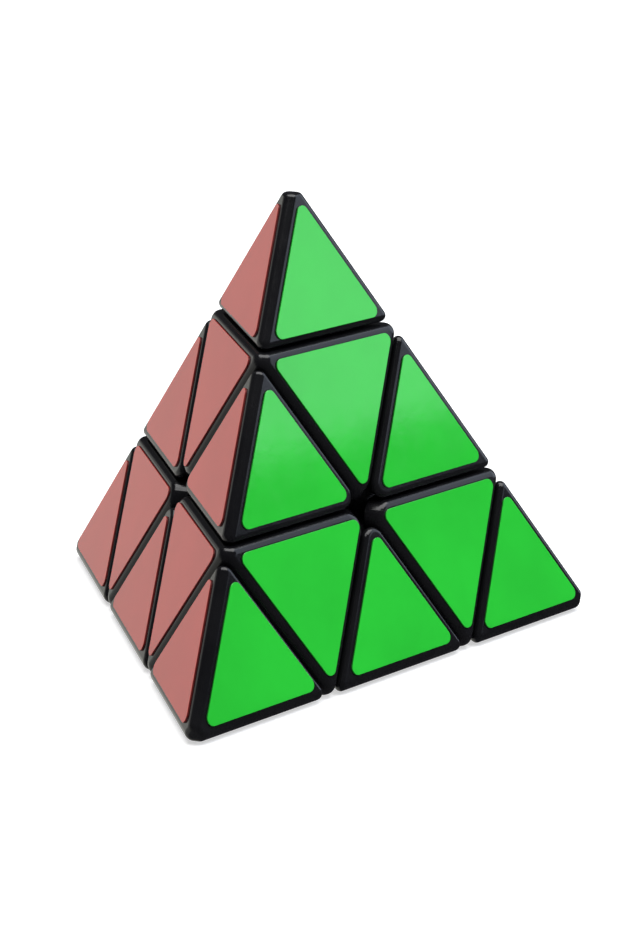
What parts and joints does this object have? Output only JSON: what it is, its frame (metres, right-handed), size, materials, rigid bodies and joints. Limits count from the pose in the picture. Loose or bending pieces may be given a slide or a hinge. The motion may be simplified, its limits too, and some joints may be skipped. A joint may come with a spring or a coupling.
{
  "type": "pyramid twisty puzzle",
  "caption": "Tetrahedral twisty puzzle with turning layers and tips, coloured triangle stickers on black plastic, and a sprung core inside.",
  "frame": {"origin": "centre of the core, where all four turning axes meet", "axes": "+Z through the top corner, -Y through the middle of the front (green) face, +X to the right of it; the puzzle rests on its yellow face"},
  "size_m": [0.0986, 0.0863, 0.081],
  "materials": {
    "black_plastic": "satin moulded ABS",
    "core_plastic": "matt moulded",
    "green_vinyl": "gloss vinyl sticker",
    "red_vinyl": "gloss vinyl sticker",
    "blue_vinyl": "gloss vinyl sticker",
    "yellow_vinyl": "gloss vinyl sticker",
    "steel": "zinc-plated"
  },
  "bodies": {
    "core": {"core": "core_plastic", "tension_screws": "steel", "washers": "steel", "tension_springs": "steel"},
    "corner_top": {"corner_shell_top": "black_plastic", "corner_hub_top": "black_plastic", "blue_sticker_corner_top": "blue_vinyl", "red_sticker_corner_top": "red_vinyl", "green_sticker_corner_top": "green_vinyl"},
    "tip_top": {"tip_top": "black_plastic", "blue_sticker_tip_top": "blue_vinyl", "red_sticker_tip_top": "red_vinyl", "green_sticker_tip_top": "green_vinyl"},
    "corner_left": {"corner_shell_left": "black_plastic", "corner_hub_left": "black_plastic", "yellow_sticker_corner_left": "yellow_vinyl", "red_sticker_corner_left": "red_vinyl", "green_sticker_corner_left": "green_vinyl"},
    "tip_left": {"tip_left": "black_plastic", "yellow_sticker_tip_left": "yellow_vinyl", "red_sticker_tip_left": "red_vinyl", "green_sticker_tip_left": "green_vinyl"},
    "corner_right": {"corner_shell_right": "black_plastic", "corner_hub_right": "black_plastic", "yellow_sticker_corner_right": "yellow_vinyl", "blue_sticker_corner_right": "blue_vinyl", "green_sticker_corner_right": "green_vinyl"},
    "tip_right": {"tip_right": "black_plastic", "yellow_sticker_tip_right": "yellow_vinyl", "blue_sticker_tip_right": "blue_vinyl", "green_sticker_tip_right": "green_vinyl"},
    "corner_back": {"corner_shell_back": "black_plastic", "corner_hub_back": "black_plastic", "yellow_sticker_corner_back": "yellow_vinyl", "blue_sticker_corner_back": "blue_vinyl", "red_sticker_corner_back": "red_vinyl"},
    "tip_back": {"tip_back": "black_plastic", "yellow_sticker_tip_back": "yellow_vinyl", "blue_sticker_tip_back": "blue_vinyl", "red_sticker_tip_back": "red_vinyl"},
    "edge_top_left": {"edge_top_left": "black_plastic", "red_sticker_edge_top_left": "red_vinyl", "green_sticker_edge_top_left": "green_vinyl"},
    "edge_top_right": {"edge_top_right": "black_plastic", "blue_sticker_edge_top_right": "blue_vinyl", "green_sticker_edge_top_right": "green_vinyl"},
    "edge_top_back": {"edge_top_back": "black_plastic", "blue_sticker_edge_top_back": "blue_vinyl", "red_sticker_edge_top_back": "red_vinyl"},
    "edge_left_right": {"edge_left_right": "black_plastic", "yellow_sticker_edge_left_right": "yellow_vinyl", "green_sticker_edge_left_right": "green_vinyl"},
    "edge_left_back": {"edge_left_back": "black_plastic", "yellow_sticker_edge_left_back": "yellow_vinyl", "red_sticker_edge_left_back": "red_vinyl"},
    "edge_right_back": {"edge_right_back": "black_plastic", "yellow_sticker_edge_right_back": "yellow_vinyl", "blue_sticker_edge_right_back": "blue_vinyl"}
  },
  "joints": [
    {"name": "turn_top_layer", "type": "hinge", "parent": "core", "child": "corner_top", "pos_m": [0, 0, 0], "axis": [0, 0, 1], "continuous": true},
    {"name": "turn_left_layer", "type": "hinge", "parent": "core", "child": "corner_left", "pos_m": [0, 0, 0], "axis": [-0.8165, -0.4714, -0.3333], "range_deg": [-360, 360]},
    {"name": "turn_right_layer", "type": "hinge", "parent": "core", "child": "corner_right", "pos_m": [0, 0, 0], "axis": [0.8165, -0.4714, -0.3333], "range_deg": [-360, 360]},
    {"name": "turn_back_layer", "type": "hinge", "parent": "core", "child": "corner_back", "pos_m": [0, 0, 0], "axis": [0, 0.9428, -0.3333], "range_deg": [-360, 360]},
    {"name": "twist_top_tip", "type": "hinge", "parent": "corner_top", "child": "tip_top", "pos_m": [0, 0, 0], "axis": [0, 0, 1], "continuous": true},
    {"name": "twist_left_tip", "type": "hinge", "parent": "corner_left", "child": "tip_left", "pos_m": [0, 0, 0], "axis": [-0.8165, -0.4714, -0.3333], "continuous": true},
    {"name": "twist_right_tip", "type": "hinge", "parent": "corner_right", "child": "tip_right", "pos_m": [0, 0, 0], "axis": [0.8165, -0.4714, -0.3333], "continuous": true},
    {"name": "twist_back_tip", "type": "hinge", "parent": "corner_back", "child": "tip_back", "pos_m": [0, 0, 0], "axis": [0, 0.9428, -0.3333], "continuous": true},
    {"name": "edge_top_left_with_left_layer", "type": "hinge", "parent": "corner_top", "child": "edge_top_left", "pos_m": [0, 0, 0], "axis": [-0.8165, -0.4714, -0.3333], "range_deg": [-360, 360]},
    {"name": "edge_top_right_with_right_layer", "type": "hinge", "parent": "corner_top", "child": "edge_top_right", "pos_m": [0, 0, 0], "axis": [0.8165, -0.4714, -0.3333], "range_deg": [-360, 360]},
    {"name": "edge_top_back_with_back_layer", "type": "hinge", "parent": "corner_top", "child": "edge_top_back", "pos_m": [0, 0, 0], "axis": [0, 0.9428, -0.3333], "range_deg": [-360, 360]},
    {"name": "edge_left_right_with_right_layer", "type": "hinge", "parent": "corner_left", "child": "edge_left_right", "pos_m": [0, 0, 0], "axis": [0.8165, -0.4714, -0.3333], "range_deg": [-360, 360]},
    {"name": "edge_left_back_with_back_layer", "type": "hinge", "parent": "corner_left", "child": "edge_left_back", "pos_m": [0, 0, 0], "axis": [0, 0.9428, -0.3333], "range_deg": [-360, 360]},
    {"name": "edge_right_back_with_back_layer", "type": "hinge", "parent": "corner_right", "child": "edge_right_back", "pos_m": [0, 0, 0], "axis": [0, 0.9428, -0.3333], "range_deg": [-360, 360]}
  ],
  "couplings": [
    {"joint": "edge_top_left_with_left_layer", "follows": "turn_left_layer", "ratio": 1},
    {"joint": "edge_top_right_with_right_layer", "follows": "turn_right_layer", "ratio": 1},
    {"joint": "edge_top_back_with_back_layer", "follows": "turn_back_layer", "ratio": 1},
    {"joint": "edge_left_right_with_right_layer", "follows": "turn_right_layer", "ratio": 1},
    {"joint": "edge_left_back_with_back_layer", "follows": "turn_back_layer", "ratio": 1},
    {"joint": "edge_right_back_with_back_layer", "follows": "turn_back_layer", "ratio": 1}
  ]
}
